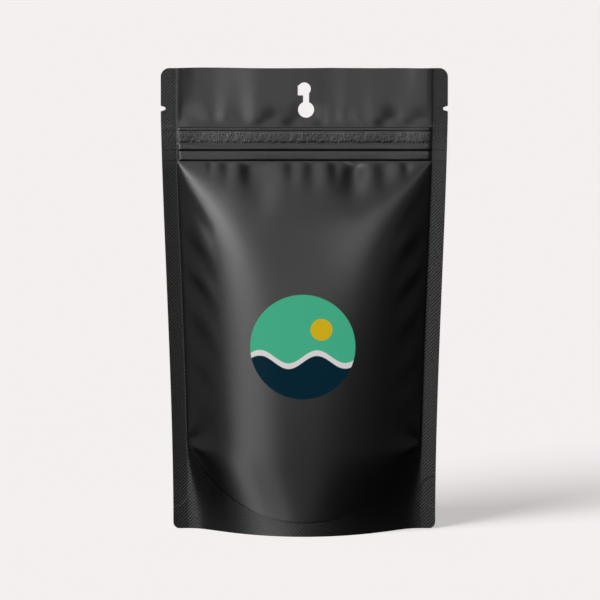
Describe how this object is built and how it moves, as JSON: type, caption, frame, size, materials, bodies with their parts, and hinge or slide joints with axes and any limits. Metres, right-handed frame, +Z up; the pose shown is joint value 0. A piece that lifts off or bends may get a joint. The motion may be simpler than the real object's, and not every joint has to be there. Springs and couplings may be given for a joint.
{
  "type": "stand-up food pouch",
  "caption": "Filled stand-up pouch of matte black film with welded sides, a press zip under a punched header, tear notches and a curved bottom gusset that it stands on.",
  "frame": {"origin": "on the floor under the middle of the pouch", "axes": "+Z up to the header, +X to the right seen from the front, the front panel faces -Y"},
  "size_m": [0.131, 0.0442, 0.213],
  "materials": {
    "film": "matte black laminate film, soft satin sheen, fine knurl on the welds"
  },
  "bodies": {
    "root": {"pouch": "film"}
  },
  "joints": []
}
